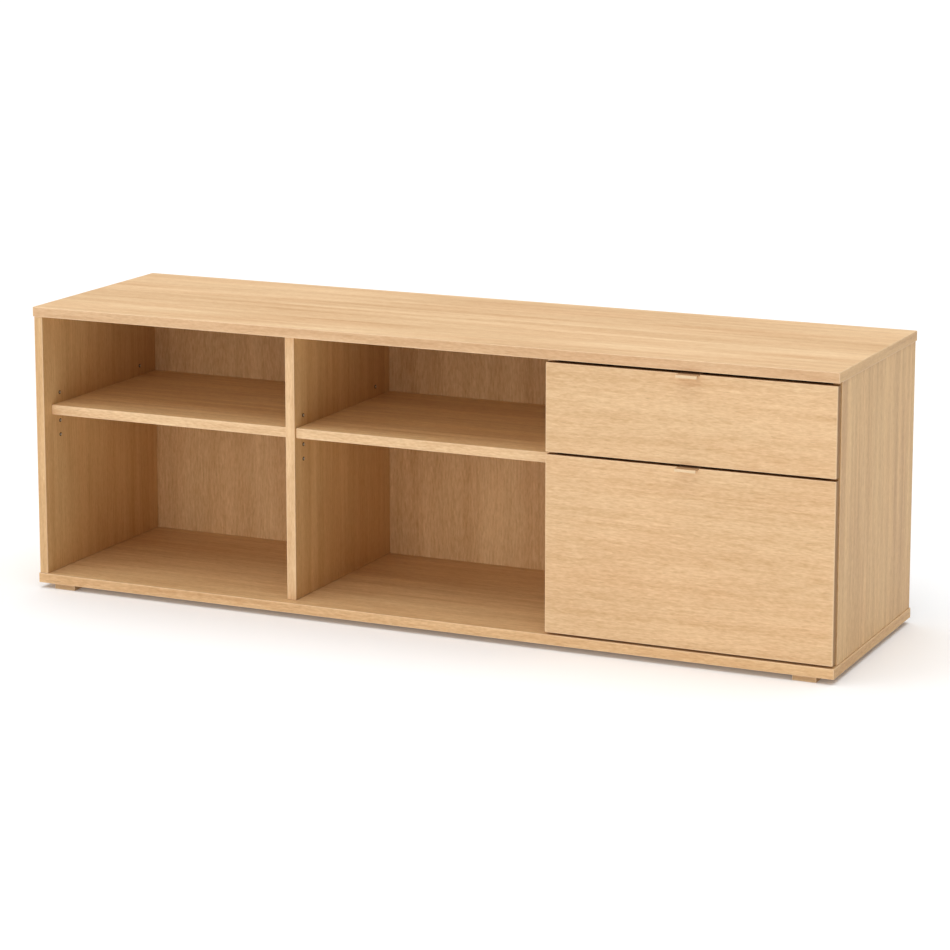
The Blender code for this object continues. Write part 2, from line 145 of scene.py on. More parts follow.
def stretched_noise(tree, line, along, across, detail=3.0, rough=0.55, twist=0.0):
    """Noise drawn out along the grain, in cycles per metre along it and across it."""
    scaled = add_node(
        tree, "ShaderNodeVectorMath", {0: line, 1: (along, across, across)}, operation="MULTIPLY"
    )[0]
    settings = {"Vector": scaled, "Scale": 1.0, "Detail": detail}
    settings.update({"Roughness": rough, "Distortion": twist})
    return add_node(tree, "ShaderNodeTexNoise", settings)[0]


def face_direction(tree):
    """The parts of the surface's normal along X, Y and Z."""
    normal = add_node(tree, "ShaderNodeNewGeometry")["Normal"]
    return add_node(tree, "ShaderNodeSeparateXYZ", {0: normal})


def object_place(tree):
    """A point's Object coordinates, one by one."""
    place = add_node(tree, "ShaderNodeTexCoord")["Object"]
    return add_node(tree, "ShaderNodeSeparateXYZ", {0: place})


def board_axes(corners, grain):
    """Indices of a board's axes: along its grain, across it, and through its thickness."""
    low, high = corners
    lead = "XYZ".index(grain)
    rest = sorted((i for i in range(3) if i != lead), key=lambda i: high[i] - low[i])
    return lead, rest[1], rest[0]


def board_place(tree, corners, axes):
    """A point's place along, across and through a board, from the board's middle.

    On the two ends of the grain the foil is turned, to run along the end's edge.
    """
    parts = object_place(tree)
    lengthwise = calculate(tree, "ABSOLUTE", face_direction(tree)[axes[0]])
    middle = (Vector(corners[0]) + Vector(corners[1])) / 2
    centred = [calculate(tree, "SUBTRACT", parts[i], middle[i]) for i in axes]
    on_end = calculate(tree, "GREATER_THAN", lengthwise, SQUARE_ON)
    along = pick(tree, on_end, centred[0], centred[1])
    across = pick(tree, on_end, centred[1], centred[0])
    return along, across, centred[2]


def board_depths(tree, corners):
    """How far a point lies inside a board: from its nearest face, and from its nearest edge."""
    parts = object_place(tree)
    low, high = corners
    depths = []
    for i in range(3):
        from_low = calculate(tree, "SUBTRACT", parts[i], low[i])
        from_high = calculate(tree, "SUBTRACT", high[i], parts[i])
        depths.append(calculate(tree, "MINIMUM", from_low, from_high))
    least = calculate(tree, "MINIMUM", depths[0], depths[1])
    most = calculate(tree, "MAXIMUM", depths[0], depths[1])
    from_face = calculate(tree, "MINIMUM", least, depths[2])
    from_edge = calculate(tree, "MAXIMUM", least, calculate(tree, "MINIMUM", most, depths[2]))
    return from_face, from_edge


def growth_rings(tree, line, along, across, through, pith, tilt, ring, leaf):
    """The tree's rings as the board cuts them: arches over the pith, stripes at the sides."""
    if leaf:
        across = calculate(tree, "WRAP", across, leaf / 2, -leaf / 2)
    wander = stretched_noise(tree, line, *RING_WANDER, rough=0.5)
    wander = calculate(tree, "MULTIPLY_ADD", wander, WANDER_WIDTH, -WANDER_WIDTH / 2)
    across = calculate(tree, "ADD", across, wander)
    aside = calculate(tree, "SUBTRACT", across, pith[0])
    below = calculate(tree, "MULTIPLY_ADD", along, tilt, calculate(tree, "ADD", through, pith[1]))
    squares = calculate(tree, "MULTIPLY", aside, aside)
    radius = calculate(tree, "SQRT", calculate(tree, "MULTIPLY_ADD", below, below, squares))
    ripple = stretched_noise(tree, line, *RING_RIPPLE, rough=0.6)
    growth = calculate(tree, "DIVIDE", radius, ring)
    growth = calculate(tree, "MULTIPLY_ADD", ripple, RIPPLE_RINGS, growth)
    return spread(tree, calculate(tree, "FRACT", growth), 0.0, 0.6, 1.0, 0.0)


def oak_foil(
    name, node, grain, seed, pith=(0.0, 0.05), tilt=0.10, ring=0.0065, leaf=None,
    rings=0.10, streaks=0.9, fibre=0.9, broad=0.5,
    tint=None, band=None, ends=None, gap_shade=None,
    bare_rear=False, core=(CHIPBOARD, CHIPBOARD_FLAKE),
):
    """The printed oak foil of one board, with the raw core showing in holes and slots.

    pith is the place of the tree's heart beside the board's middle and under it, tilt how
    fast the board climbs away from it, and ring the width of a year. The print repeats
    after each leaf, if there is one. rings, streaks, fibre and broad are the strengths of
    the patterns: the growth rings, the long streaks, the short fibres and the slow change
    of tone. tint goes over the whole board, band over the front edge, ends over the two
    ends, and gap_shade is a painted shade over the top and side edges behind the front
    bevel, for the dark gaps round a front. With bare_rear the rear side has no foil and
    shows the core too.
    """
    finish, tree, shader = new_finish(name)
    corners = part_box(node)
    along, across, through = board_place(tree, corners, board_axes(corners, grain))
    line = add_node(tree, "ShaderNodeCombineXYZ", {0: along, 1: across, 2: through})[0]
    shift = (seed * 3.17, seed * 1.31, seed * 0.73)
    line = add_node(tree, "ShaderNodeVectorMath", {0: line, 1: shift}, operation="ADD")[0]

    tone = 0.5
    for strength, pattern in (
        (broad, SLOW_TONE),
        (streaks, LONG_STREAK),
        (fibre * 0.65, COARSE_FIBRE),
        (fibre, SHORT_FIBRE),
        (fibre * 0.35, FINE_FIBRE),
    ):
        noise = stretched_noise(tree, line, *pattern, rough=0.6, twist=0.1)
        level = calculate(tree, "SUBTRACT", noise, 0.5)
        tone = calculate(tree, "MULTIPLY_ADD", level, strength, tone)
    arches = growth_rings(tree, line, along, across, through, pith, tilt, ring, leaf)
    tone = calculate(tree, "MULTIPLY_ADD", arches, -rings, tone)
    tone = calculate(tree, "ADD", tone, rings * 0.3, clamp=True)
    wood = blend_colours(tree, tone, OAK_DARK, OAK_LIGHT)
    hue = spread(tree, stretched_noise(tree, line, *HUE_DRIFT), 0.36, 0.64)
    hue = blend_colours(tree, hue, OAK_PINK, OAK_STRAW)
    wood = blend_colours(tree, 1.0, wood, hue, "MULTIPLY")
    dashes = spread(tree, stretched_noise(tree, line, *PORE_DASH, rough=0.6), 0.60, 0.72)
    pores = calculate(tree, "MULTIPLY", dashes, calculate(tree, "MULTIPLY_ADD", arches, 0.3, 0.12))
    wood = blend_colours(tree, pores, wood, OAK_PORE)
    if tint:
        wood = blend_colours(tree, 1.0, wood, (*tint, 1.0), "MULTIPLY")
    facing = face_direction(tree)
    sideways = calculate(tree, "ABSOLUTE", facing["X"])
    sideways = calculate(tree, "GREATER_THAN", sideways, SQUARE_ON)
    if band:
        on_band = calculate(tree, "LESS_THAN", facing["Y"], -SQUARE_ON)
        banded = blend_colours(tree, 1.0, wood, (*band, 1.0), "MULTIPLY")
        wood = blend_colours(tree, on_band, wood, banded)
    if ends:
        ended = blend_colours(tree, 1.0, wood, (*ends, 1.0), "MULTIPLY")
        wood = blend_colours(tree, sideways, wood, ended)

    from_face, from_edge = board_depths(tree, corners)
    # Painted highlight: every edge of the board is lightened within a few millimetres, as light
    # catching its rounded arris.
    edge_highlight = spread(tree, from_edge, 0.0, EDGE_HIGHLIGHT_WIDTH, EDGE_HIGHLIGHT_SHARE, 0.0)
    wood = blend_colours(tree, edge_highlight, wood, OAK_EDGE_HIGHLIGHT)
    # Painted shade: on a front, the top and side edges behind the front bevel are darkened, for
    # the dark gaps round it.
    if gap_shade:
        front = corners[0].y
        depth = object_place(tree)["Y"]
        behind = spread(tree, depth, front + GAP_SHADE_START, front + GAP_SHADE_FULL)
        upward = calculate(tree, "GREATER_THAN", facing["Z"], SQUARE_ON)
        gap_shade_share = calculate(tree, "MULTIPLY_ADD", sideways, SIDE_GAP_SHADE_SHARE, upward)
        gap_shade_share = calculate(tree, "MULTIPLY", gap_shade_share, behind)
        gap_shaded = blend_colours(tree, 1.0, wood, (*gap_shade, 1.0), "MULTIPLY")
        wood = blend_colours(tree, gap_shade_share, wood, gap_shaded)
    flakes = stretched_noise(tree, line, *CORE_FLAKE)
    raw = blend_colours(tree, spread(tree, flakes, 0.42, 0.62), *core)
    cut = spread(tree, from_face, FOIL_DEPTH * 0.9, FOIL_DEPTH * 1.1)
    if bare_rear:
        rearward = calculate(tree, "GREATER_THAN", facing["Y"], SQUARE_ON)
        cut = calculate(tree, "MAXIMUM", cut, rearward)
    tree.links.new(blend_colours(tree, cut, wood, raw), shader.inputs["Base Color"])

    satin = calculate(tree, "MULTIPLY_ADD", tone, 0.12, 0.40)
    satin = calculate(tree, "MULTIPLY_ADD", pores, 0.4, satin)
    if gap_shade:
        satin = calculate(tree, "MULTIPLY_ADD", gap_shade_share, 0.35, satin)
    tree.links.new(calculate(tree, "MULTIPLY_ADD", cut, 0.35, satin), shader.inputs["Roughness"])
    shader.inputs["Specular IOR Level"].default_value = FOIL_GLOSS
    relief = calculate(tree, "MULTIPLY_ADD", dashes, -0.6, tone)
    roughen(tree, shader, relief, FOIL_BUMP, FOIL_BUMP_DEPTH)
    return finish


def paint(node, finish):
    """Give a piece of the frame its finish, in every material slot that it has."""
    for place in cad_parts[node].material_slots:
        place.material = finish


paint(
    "top_panel",
    oak_foil(
        "oak_top", "top_panel", "X", 1.0, pith=(0.30, 0.06), rings=0.04,
        fibre=0.6, streaks=1.3, broad=0.6, tint=(1.06, 1.12, 1.23),
        band=(0.90, 0.85, 0.83), ends=(0.92, 0.86, 0.70),
    ),
)
paint(
    "bottom_panel",
    oak_foil(
        "oak_bottom", "bottom_panel", "X", 2.0, pith=(0.30, 0.06), rings=0.04,
        fibre=0.9, streaks=1.4, tint=(0.90, 0.91, 0.88),
        band=(1.10, 1.08, 1.10), ends=(1.08, 1.05, 0.98), bare_rear=True,
    ),
)

# ---------------------------------------------------------------------------------------
# Side panels and partitions: upright boards fixed between the top and the bottom with
# hidden fittings, with upright grain. Their drilled columns take the shelf pins.

RIGHT_SIDE = {"tint": (0.98, 0.97, 0.87), "fibre": 0.95, "streaks": 1.9}
LEFT_SIDE = {"tint": (0.96, 0.97, 0.86), "band": (1.03, 1.02, 1.12), "fibre": 0.6, "streaks": 1.1}
PARTITION = {"tint": (0.94, 0.95, 0.84), "band": (1.17, 1.21, 1.46), "fibre": 0.6, "streaks": 1.1}
for number, (node, looks) in enumerate(
    (
        ("left_side_panel", LEFT_SIDE),
        ("right_side_panel", RIGHT_SIDE),
        ("left_partition", PARTITION),
        ("right_partition", PARTITION),
    )
):
    finish = oak_foil(
        "oak_" + node, node, "Z", 3.0 + number, pith=(0.25, 0.05), rings=0.08,
        bare_rear=True, **looks,
    )
    paint(node, finish)

# ---------------------------------------------------------------------------------------
# Back panel: 3 mm hardboard with the oak foil on its front, upright grain, slid into
# grooves in the boards round it. The print repeats at each bay's width.

HARDBOARD_DARK = (0.300, 0.190, 0.105, 1.0)
HARDBOARD_BROWN = (0.345, 0.225, 0.130, 1.0)
BAY_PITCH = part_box("right_partition")[0].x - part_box("left_partition")[0].x
paint(
    "back_panel",
    oak_foil(
        "oak_back", "back_panel", "Z", 8.0, pith=(-0.10, 0.03), rings=0.10, leaf=BAY_PITCH,
        tilt=0.26, fibre=0.9, broad=1.0, tint=(1.01, 1.02, 0.98), bare_rear=True,
        core=(HARDBOARD_DARK, HARDBOARD_BROWN),
    ),
)

# ---------------------------------------------------------------------------------------
# Shelves: loose boards cut short enough to lift out, each lying on four pins that sit in
# slots in its underside, so that no pin shows.

for number, node in enumerate(("left_shelf", "middle_shelf")):
    finish = oak_foil(
        "oak_" + node, node, "X", 9.0 + number, pith=(0.3, 0.06), rings=0.04,
        fibre=0.9, streaks=1.5, tint=(1.02, 1.07, 1.04), band=(1.03, 1.02, 1.12),
    )
    paint(node, finish)

# ---------------------------------------------------------------------------------------
# Drawer fronts: 16 mm board edged all round, with the printed figure lying across both
# fronts, and a shallow housing in the top edge for the pull.

# Each front's top and side edges carry a painted shade behind the bevel, for the gaps round the
# fronts.
for number, node in enumerate(("upper_drawer_front", "lower_drawer_front")):
    finish = oak_foil(
        "oak_" + node, node, "X", 12.0 + number, pith=(0.0, 0.04), rings=0.07,
        fibre=0.8, tint=(1.02, 1.06, 1.13), gap_shade=(0.33, 0.24, 0.14),
    )
    paint(node, finish)

# ---------------------------------------------------------------------------------------
# Feet: low blocks screwed under the bottom board, faced like it.

for node in sorted(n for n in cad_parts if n.endswith("_foot")):
    paint(node, oak_foil("oak_" + node, node, "X", 15.0, tint=(0.75, 0.75, 0.75)))

# ---------------------------------------------------------------------------------------
# Sockets of the spare pin holes: bronzed collars pressed into the board, each closed by a
# nickelled stud in its middle. The collars are made dark as a painted shade round each
# hole's rim. One hole above the pins and two below them are closed so.

PIN_PITCH = 0.025
SPARE_HOLES = {"above": 1, "below": -1, "lowest": -2}
COLLAR_R = 0.0034
COLLAR_PROUD = 0.0006
SLEEVE_R = 0.0024
SLEEVE_LENGTH = 0.0060
STUD_R = 0.0019
STUD_PROUD = 0.0013
COLLAR_BEVEL = COLLAR_PROUD * 0.6
STUD_BEVEL = STUD_PROUD * 0.5
COLLAR_GAP = 0.00005
SHARP_EDGE = math.radians(35)
SHADE_BRONZE = (0.150, 0.100, 0.062, 1.0)
SHADE_BRONZE_DULL = (0.080, 0.052, 0.032, 1.0)
NICKEL = (0.70, 0.66, 0.58, 1.0)
NICKEL_DULL = (0.54, 0.50, 0.43, 1.0)


def cross_noise(tree, scale, detail=2.0, rough=0.5):
    """Even noise over Object coordinates, in cycles per metre."""
    place = add_node(tree, "ShaderNodeTexCoord")["Object"]
    settings = {"Vector": place, "Scale": scale, "Detail": detail, "Roughness": rough}
    return add_node(tree, "ShaderNodeTexNoise", settings)[0]


def plated(name, colour, dull, roughness):
    """Bright metal plating: slightly clouded in colour, with fine drawn scratches."""
    finish, tree, shader = new_finish(name)
    shader.inputs["Metallic"].default_value = 1.0
    clouds = cross_noise(tree, 180.0, 3.0)
    tree.links.new(blend_colours(tree, clouds, dull, colour), shader.inputs["Base Color"])
    scratches = cross_noise(tree, 2600.0, 2.0, 0.7)
    rough = calculate(tree, "MULTIPLY_ADD", scratches, 0.22, roughness - 0.11)
    tree.links.new(rough, shader.inputs["Roughness"])
    roughen(tree, shader, scratches, 0.08, 0.0001)
    return finish


def edit_faces(piece, test):
    """Open a piece in edit mode with only the faces that pass the test selected."""
    bpy.ops.object.select_all(action="DESELECT")
    bpy.context.view_layer.objects.active = piece
    piece.select_set(True)
    for polygon in piece.data.polygons:
        polygon.select = test(polygon)
    for edge in piece.data.edges:
        edge.select = False
    for vertex in piece.data.vertices:
        vertex.select = False
    bpy.ops.object.mode_set(mode="EDIT")
    bpy.ops.mesh.select_mode(type="FACE")


def close_edit():
    """Back to object mode, shaded smooth but for its sharp edges."""
    bpy.ops.object.mode_set(mode="OBJECT")
    bpy.ops.object.shade_smooth_by_angle(angle=SHARP_EDGE)


def start_disc(name, radius, height, sides=32):
    """A short cylinder that stands on the origin, along +Z, as the start of a turned piece."""
    bpy.ops.object.select_all(action="DESELECT")
    bpy.ops.mesh.primitive_cylinder_add(
        vertices=sides, radius=radius, depth=height, location=(0, 0, height / 2)
    )
    piece = bpy.context.object
    piece.name = name
    bpy.ops.object.transform_apply(location=True, rotation=True, scale=True)
    return piece


def faces_up(polygon):
    """The flat top of a piece, without the ring of a bevel round it."""
    return polygon.normal.z > 0.99


def faces_down(polygon):
    """The flat bottom of a piece."""
    return polygon.normal.z < -0.9


def place_copy(pattern, name, place, axis, body, slot, *finishes):
    """A copy of a turned pattern, with its own mesh, standing at a place along an axis."""
    mesh = pattern.data.copy()
    mesh.name = name
    turn = Vector((0, 0, 1)).rotation_difference(Vector(axis)).to_matrix().to_4x4()
    mesh.transform(Matrix.Translation(place) @ turn)
    parts = [polygon.material_index for polygon in mesh.polygons]
    mesh.materials.clear()
    for finish in finishes:
        mesh.materials.append(finish)
    mesh.polygons.foreach_set("material_index", parts)
    piece = bpy.data.objects.new(name, mesh)
    bpy.context.scene.collection.objects.link(piece)
    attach(piece, body)
    return piece


# The collars' bronze is dark both as bronzed steel and as a painted shade round each hole's rim.
shade_bronze = plated("bronze_and_rim_shade", SHADE_BRONZE, SHADE_BRONZE_DULL, 0.50)
nickel = plated("nickel_plate", NICKEL, NICKEL_DULL, 0.45)

socket = start_disc("socket_pattern", COLLAR_R, COLLAR_PROUD)
edit_faces(socket, faces_down)
bpy.ops.mesh.inset(thickness=COLLAR_R - SLEEVE_R, depth=0)
bpy.ops.mesh.extrude_region_move(TRANSFORM_OT_translate={"value": (0, 0, -SLEEVE_LENGTH)})
close_edit()
edit_faces(socket, faces_up)
bpy.ops.mesh.bevel(offset=COLLAR_BEVEL, segments=2)
close_edit()
edit_faces(socket, faces_up)
bpy.ops.mesh.inset(thickness=COLLAR_R - COLLAR_BEVEL - STUD_R, depth=0)
bpy.ops.mesh.extrude_region_move(TRANSFORM_OT_translate={"value": (0, 0, STUD_PROUD)})
close_edit()
edit_faces(socket, lambda polygon: faces_up(polygon) and polygon.center.z > COLLAR_PROUD * 1.5)
bpy.ops.mesh.bevel(offset=STUD_BEVEL, segments=3)
close_edit()
for polygon in socket.data.polygons:
    on_stud = polygon.center.z > COLLAR_PROUD * 1.05
    polygon.material_index = 1 if on_stud else 0

BOARD_OF_PIN = {
    ("left", "left"): ("left_side_panel", 1),
    ("left", "right"): ("left_partition", -1),
    ("middle", "left"): ("left_partition", 1),
    ("middle", "right"): ("right_partition", -1),
}
for (bay, side), (board, outward) in BOARD_OF_PIN.items():
    board_low, board_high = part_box(board)
    face = board_high.x if outward > 0 else board_low.x
    for row in ("front", "rear"):
        pin = f"{bay}_shelf_pin_{side}_{row}"
        low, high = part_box(pin)
        middle = (low + high) / 2
        for hole, steps in SPARE_HOLES.items():
            spot = Vector((face + outward * COLLAR_GAP, middle.y, middle.z + steps * PIN_PITCH))
            name = f"{pin.replace('_pin_', '_hole_')}_socket_{hole}"
            place_copy(socket, name, spot, (outward, 0, 0), "cabinet", "zinc", shade_bronze, nickel)
bpy.data.objects.remove(socket)

# ---------------------------------------------------------------------------------------
# Shelf pins: turned zinc-plated pins, each pressed into a hole of its column and hidden
# in a slot in the shelf's underside.

ZINC = (0.78, 0.78, 0.76, 1.0)
ZINC_DULL = (0.58, 0.59, 0.60, 1.0)
zinc = plated("zinc_plate", ZINC, ZINC_DULL, 0.30)
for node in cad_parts:
    if "_shelf_pin_" in node:
        paint(node, zinc)

# ---------------------------------------------------------------------------------------
# Drawer boxes: 12 mm board in a paler foil than the outside, standing on runners, with a
# bottom of lacquered hardboard held in grooves all round.

LACQUER = (0.54, 0.42, 0.28, 1.0)
LACQUER_PALE = (0.57, 0.45, 0.31, 1.0)
LACQUER_FLECK = (0.42, 0.32, 0.21, 1.0)


def lacquered_hardboard(name):
    """Smooth pale lacquer over fine pressed fibre, with a little fleck."""
    finish, tree, shader = new_finish(name)
    fleck = spread(tree, cross_noise(tree, 1500.0, 3.0, 0.7), 0.35, 0.70)
    clouds = spread(tree, cross_noise(tree, 25.0, 2.0), 0.3, 0.7)
    base = blend_colours(tree, clouds, LACQUER, LACQUER_PALE)
    flecked = calculate(tree, "MULTIPLY", fleck, 0.3)
    colour = blend_colours(tree, flecked, base, LACQUER_FLECK)
    tree.links.new(colour, shader.inputs["Base Color"])
    tree.links.new(calculate(tree, "MULTIPLY_ADD", fleck, 0.2, 0.38), shader.inputs["Roughness"])
    roughen(tree, shader, fleck, 0.1, 0.0002)
    return finish


hardboard = lacquered_hardboard("lacquered_hardboard")
BOX_LOOKS = {"tint": (1.02, 1.14, 1.42), "fibre": 0.5, "streaks": 0.8, "rings": 0.05, "broad": 0.3}
BOX_GRAINS = {"left_side": "Y", "right_side": "Y", "back": "X"}
for number, drawer in enumerate(("upper", "lower")):
    for part, grain in BOX_GRAINS.items():
        node = f"{drawer}_drawer_{part}"
        seed = 20.0 + 3 * number + len(part)
        paint(node, oak_foil("pale_" + node, node, grain, seed, pith=(0.2, 0.05), **BOX_LOOKS))
    paint(f"{drawer}_drawer_bottom", hardboard)

# ---------------------------------------------------------------------------------------
# Screws: pan heads with a cross recess hold the runners, three in each, and flat ones
# driven through the drawers' sides hold their backs. They are steel, headed and rolled,
# and zinc plated.

PAN_R = 0.0030
PAN_HEIGHT = 0.0013
PAN_DOME = 0.0008
FLAT_R = 0.0034
FLAT_HEIGHT = 0.0003
FLAT_DOME = 0.00012
HEAD_GAP = 0.00003
CROSS_WIDTH = 0.0007
CROSS_SPAN = 1.1
CROSS_DEPTH = 1.2


def screw_head(name, radius, height, dome, shank=0.0):
    """A screw's head, domed by its bevel, with its cross recess and the shank under it.

    The cross spans a share of the head's radius. Its cutter stands half in the head.
    """
    piece = start_disc(name, radius, height)
    edit_faces(piece, faces_up)
    bpy.ops.mesh.bevel(offset=dome, segments=3)
    close_edit()
    if shank:
        edit_faces(piece, faces_down)
        bpy.ops.mesh.inset(thickness=radius * 0.5, depth=0)
        bpy.ops.mesh.extrude_region_move(TRANSFORM_OT_translate={"value": (0, 0, -shank)})
        close_edit()
    span = radius * CROSS_SPAN
    for number, (along, aside) in enumerate(((span, CROSS_WIDTH), (CROSS_WIDTH, span))):
        bpy.ops.object.select_all(action="DESELECT")
        bpy.ops.mesh.primitive_cube_add(
            size=1, location=(0, 0, height), scale=(along, aside, height * CROSS_DEPTH)
        )
        cutter = bpy.context.object
        bpy.ops.object.transform_apply(location=True, rotation=True, scale=True)
        bpy.ops.object.select_all(action="DESELECT")
        bpy.context.view_layer.objects.active = piece
        piece.select_set(True)
        cross = piece.modifiers.new(f"recess_{number}", "BOOLEAN")
        cross.operation = "DIFFERENCE"
        cross.object = cutter
        bpy.ops.object.modifier_apply(modifier=cross.name)
        bpy.data.objects.remove(cutter)
    bpy.ops.object.shade_smooth_by_angle(angle=SHARP_EDGE)
    return piece


RUNNER_STEEL = 0.0012
CABINET_SCREWS = (0.037, 0.165, 0.293)
CABINET_SCREW_RISE = 0.019
DRAWER_SCREWS = (0.030, 0.160, 0.290)
DRAWER_SCREW_RISE = 0.005
LEG_INSET = 0.0088
BACK_SCREWS = {"upper": (0.25, 0.75), "lower": (0.15, 0.5, 0.85)}

pan_head = screw_head("pan_head_pattern", PAN_R, PAN_HEIGHT, PAN_DOME)
for drawer in ("upper", "lower"):
    for side, inward in (("left", 1), ("right", -1)):
        low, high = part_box(f"{drawer}_{side}_cabinet_runner")
        wall = low.x if inward > 0 else high.x
        face = wall + inward * (RUNNER_STEEL + HEAD_GAP)
        for number, along in enumerate(CABINET_SCREWS, 1):
            spot = (face, low.y + along, low.z + CABINET_SCREW_RISE)
            name = f"{drawer}_{side}_cabinet_runner_screw_{number}"
            place_copy(pan_head, name, spot, (inward, 0, 0), "cabinet", "zinc", zinc)
        low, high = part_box(f"{drawer}_{side}_drawer_runner")
        leg = low.x + LEG_INSET if inward > 0 else high.x - LEG_INSET
        for number, along in enumerate(DRAWER_SCREWS, 1):
            spot = (leg - inward * HEAD_GAP, low.y + along, low.z + DRAWER_SCREW_RISE)
            name = f"{drawer}_{side}_drawer_runner_screw_{number}"
            place_copy(pan_head, name, spot, (-inward, 0, 0), f"{drawer}_drawer", "zinc", zinc)
bpy.data.objects.remove(pan_head)

flat_head = screw_head("flat_head_pattern", FLAT_R, FLAT_HEIGHT, FLAT_DOME)
for drawer, heights in BACK_SCREWS.items():
    back_low, back_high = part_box(f"{drawer}_drawer_back")
    for side, outward in (("left", -1), ("right", 1)):
        low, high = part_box(f"{drawer}_drawer_{side}_side")
        face = low.x if outward < 0 else high.x
        for number, share in enumerate(heights, 1):
            level = back_low.z + share * (back_high.z - back_low.z)
            spot = (face + outward * HEAD_GAP, (back_low.y + back_high.y) / 2, level)
            name = f"{drawer}_{side}_back_screw_{number}"
            place_copy(flat_head, name, spot, (outward, 0, 0), f"{drawer}_drawer", "zinc", zinc)
bpy.data.objects.remove(flat_head)

# ---------------------------------------------------------------------------------------
# Pulls: a strip of 1.5 mm steel bent over each front's top edge, powder coated, and held
# on the front's back by two screws.

COAT_SHADED_BROWN = (0.44, 0.26, 0.13, 1.0)
COAT_SHADED_TAN = (0.52, 0.32, 0.17, 1.0)
COAT_BEIGE = (0.79, 0.57, 0.34, 1.0)
COAT_SAND = (0.86, 0.64, 0.40, 1.0)
COAT_END_SHADE = (0.30, 0.19, 0.10, 1.0)


def powder_coat(name):
    """Satin coating, beige on the lip, with painted shade: brown on the flat of the strip and
    darker on its ends.
    """
    finish, tree, shader = new_finish(name)
    facing = face_direction(tree)
    shaded_top = spread(tree, facing["Z"], 0.5, 0.9)
    on_end = spread(tree, calculate(tree, "ABSOLUTE", facing["X"]), 0.5, 0.9)
    grit = cross_noise(tree, 4200.0, 2.0, 0.6)
    clouds = cross_noise(tree, 220.0, 2.0)
    lip = blend_colours(tree, clouds, COAT_BEIGE, COAT_SAND)
    flat = blend_colours(tree, clouds, COAT_SHADED_BROWN, COAT_SHADED_TAN)
    # Painted shade: the upward flat of the strip is browned and its ends are darkened.
    colour = blend_colours(tree, shaded_top, lip, flat)
    colour = blend_colours(tree, calculate(tree, "MULTIPLY", on_end, 0.6), colour, COAT_END_SHADE)
    tree.links.new(colour, shader.inputs["Base Color"])
    tree.links.new(calculate(tree, "MULTIPLY_ADD", grit, 0.2, 0.35), shader.inputs["Roughness"])
    roughen(tree, shader, grit, 0.12, 0.00005)
    return finish


PULL_SCREW_R = 0.0035
PULL_SCREW_HEAD = 0.0022
PULL_SCREW_DOME = 0.0013
PULL_SCREW_SHANK = 0.0090

pull_screw = screw_head(
    "pull_screw_pattern", PULL_SCREW_R, PULL_SCREW_HEAD, PULL_SCREW_DOME, PULL_SCREW_SHANK
)
for drawer in ("upper", "lower"):
    paint(f"{drawer}_pull", powder_coat(f"{drawer}_pull_coat"))
    for side in ("left", "right"):
        node = f"{drawer}_pull_screw_{side}"
        low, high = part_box(node)
        spot = ((low.x + high.x) / 2, high.y - PULL_SCREW_HEAD, (low.z + high.z) / 2)
        piece = place_copy(
            pull_screw, f"{node}_turned", spot, (0, 1, 0), f"{drawer}_drawer", "zinc", zinc
        )
        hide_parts(node)
bpy.data.objects.remove(pull_screw)

# ---------------------------------------------------------------------------------------
# Runners: folded steel, a channel on the cabinet and a rail under each drawer side, with
# a white epoxy coat. The wheels have rubbed a grey line into the treads.

EPOXY_WHITE = (0.80, 0.80, 0.78, 1.0)
EPOXY_RUBBED = (0.46, 0.46, 0.45, 1.0)


def epoxy_steel(name):
    """White epoxy coat with a fine orange peel, greyed where the wheels run."""
    finish, tree, shader = new_finish(name)
    peel = cross_noise(tree, 900.0, 2.0, 0.5)
    grime = spread(tree, cross_noise(tree, 60.0, 4.0, 0.6), 0.45, 0.75)
    level = spread(tree, calculate(tree, "ABSOLUTE", face_direction(tree)["Z"]), 0.8, 0.95)
    worn = calculate(tree, "MULTIPLY", level, calculate(tree, "MULTIPLY_ADD", grime, 0.5, 0.15))
    colour = blend_colours(tree, worn, EPOXY_WHITE, EPOXY_RUBBED)
    tree.links.new(colour, shader.inputs["Base Color"])
    tree.links.new(calculate(tree, "MULTIPLY_ADD", worn, 0.25, 0.32), shader.inputs["Roughness"])
    roughen(tree, shader, peel, 0.10, 0.0002)
    return finish


steel = epoxy_steel("epoxy_coated_steel")
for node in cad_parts:
    if node.endswith("_runner"):
        paint(node, steel)

# ---------------------------------------------------------------------------------------
# Rollers: nylon wheels, moulded with a thinner web between the rim and the hub, each
# turning on the stub axle of its runner.

WHEEL_R = 0.009
WHEEL_WIDTH = 0.0066
WHEEL_BORE_R = 0.0028
RIM = 0.0016
WEB_DEPTH = 0.0010
HUB = 0.0012
WHEEL_BEVEL = 0.0007
WEB_DRAFT = 0.0003
WHEEL_SIDES = 64
NYLON = (0.80, 0.78, 0.71, 1.0)
NYLON_PALE = (0.88, 0.87, 0.82, 1.0)


def moulded_nylon(name):
    """Natural nylon, slightly clouded, with a satin skin."""
    finish, tree, shader = new_finish(name)
    clouds = spread(tree, cross_noise(tree, 150.0, 3.0), 0.3, 0.7)
    colour = blend_colours(tree, clouds, NYLON, NYLON_PALE)
    tree.links.new(colour, shader.inputs["Base Color"])
    shader.inputs["Subsurface Weight"].default_value = 0.2
    shader.inputs["Subsurface Radius"].default_value = (0.002, 0.0018, 0.0015)
    shader.inputs["Subsurface Scale"].default_value = 1.0
    satin = cross_noise(tree, 1200.0, 2.0)
    tree.links.new(calculate(tree, "MULTIPLY_ADD", satin, 0.15, 0.32), shader.inputs["Roughness"])
    return finish


nylon = moulded_nylon("natural_nylon")
wheel = start_disc("wheel_pattern", WHEEL_R, WHEEL_WIDTH, WHEEL_SIDES)


